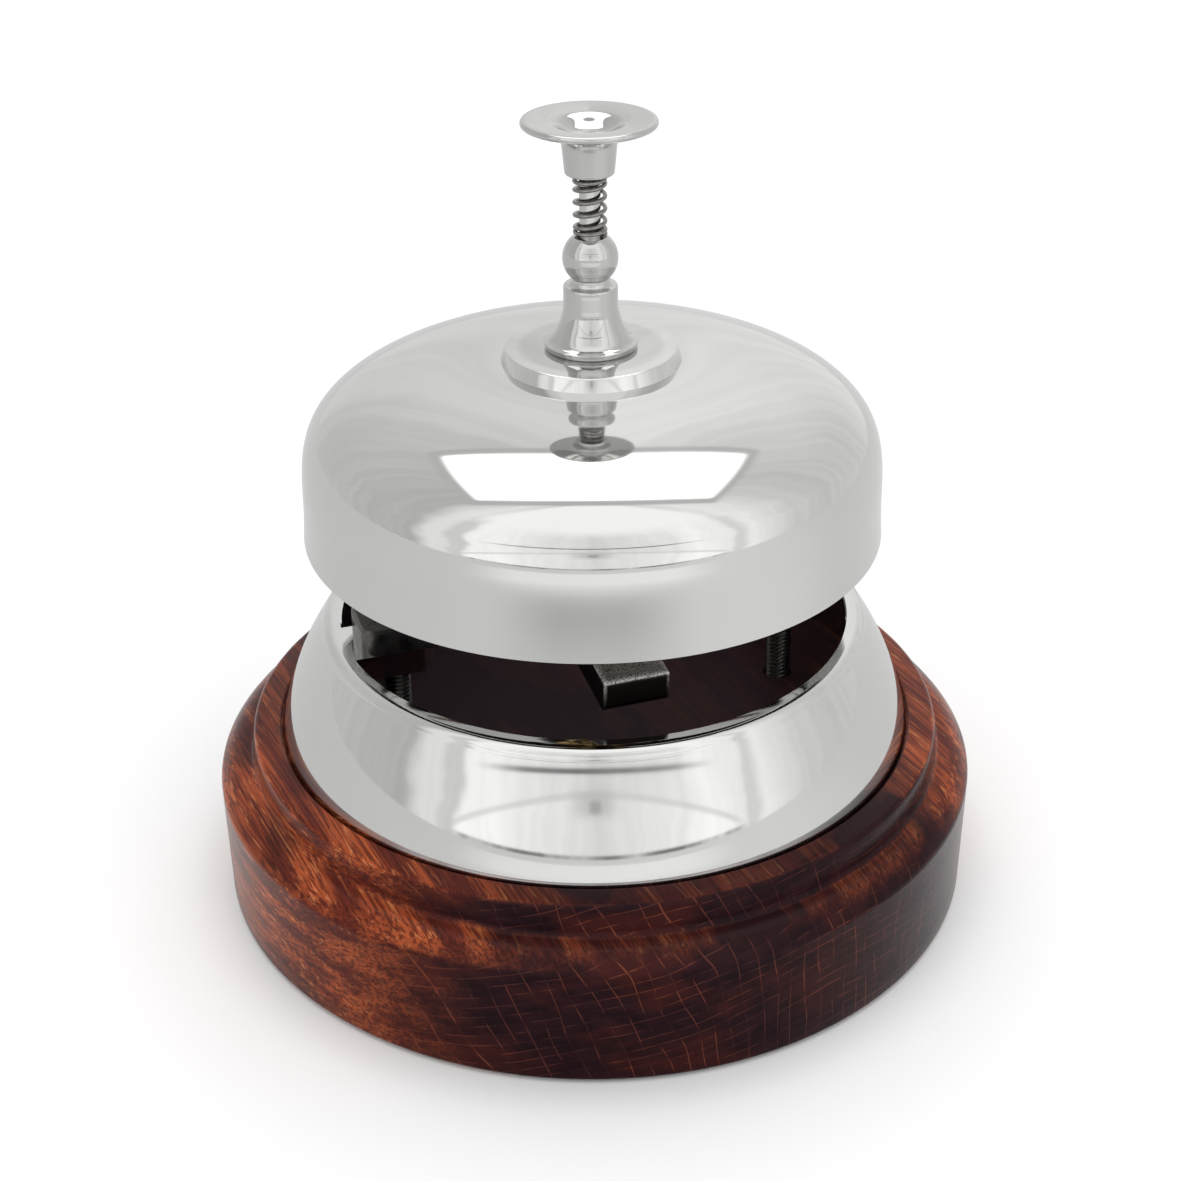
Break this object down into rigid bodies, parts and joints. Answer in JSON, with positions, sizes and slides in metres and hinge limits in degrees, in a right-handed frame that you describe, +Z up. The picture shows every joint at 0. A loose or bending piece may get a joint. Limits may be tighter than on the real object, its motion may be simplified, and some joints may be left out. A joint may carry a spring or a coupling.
{
  "type": "counter service bell",
  "caption": "Press-button counter bell: a sprung plunger swings a striker inside a domed metal gong, on a turned wooden base.",
  "frame": {"origin": "on the bell's axis, in the plane of the felt underside", "axes": "+Z up along the bell's axis; the striker swings towards -Y, turned 10.1 degrees towards +X; the bridge lies 18 degrees round from +X"},
  "size_m": [0.116, 0.116, 0.1178],
  "materials": {
    "stained_wood": "satin lacquer over a dark stain",
    "felt": "pressed wool felt",
    "nickel": "mirror-polished nickel plate",
    "plated_steel": "zinc-plated, dull",
    "brass": "as turned",
    "striker_metal": "smooth, with bright worn edges",
    "fibre": "vulcanised fibre",
    "spring_steel": "drawn wire"
  },
  "bodies": {
    "base": {"wood_base": "stained_wood", "felt_pad": "felt", "base_ring": "nickel", "bridge": "plated_steel", "base_screws": "plated_steel", "base_screw_washers": "plated_steel", "pillar": "brass", "pillar_washer": "plated_steel", "pillar_nut": "brass", "pivot_yoke": "brass", "yoke_set_screw": "plated_steel", "pivot_pin": "plated_steel", "pivot_spacers": "brass", "pivot_pin_clips": "plated_steel", "gong": "nickel", "gong_seat_washer": "fibre", "finial_column": "nickel", "return_spring": "spring_steel"},
    "plunger": {"plunger_rod": "nickel", "rod_retaining_pin": "plated_steel", "button": "nickel"},
    "striker": {"striker_lever": "plated_steel", "striker_head": "striker_metal", "head_rivet": "brass"}
  },
  "joints": [
    {"name": "button_press", "type": "slide", "parent": "base", "child": "plunger", "axis": [0, 0, -1], "range_m": [0, 0.00414], "stiffness_N_per_m": 300, "deforming": ["return_spring"]},
    {"name": "striker_swing", "type": "hinge", "parent": "base", "child": "striker", "pos_m": [0.00123, -0.00689, 0.0663], "axis": [-0.9845, -0.1754, 0], "range_deg": [0, 33]}
  ],
  "couplings": [
    {"joint": "striker_swing", "follows": "button_press", "rad_per_m": 138.9}
  ]
}
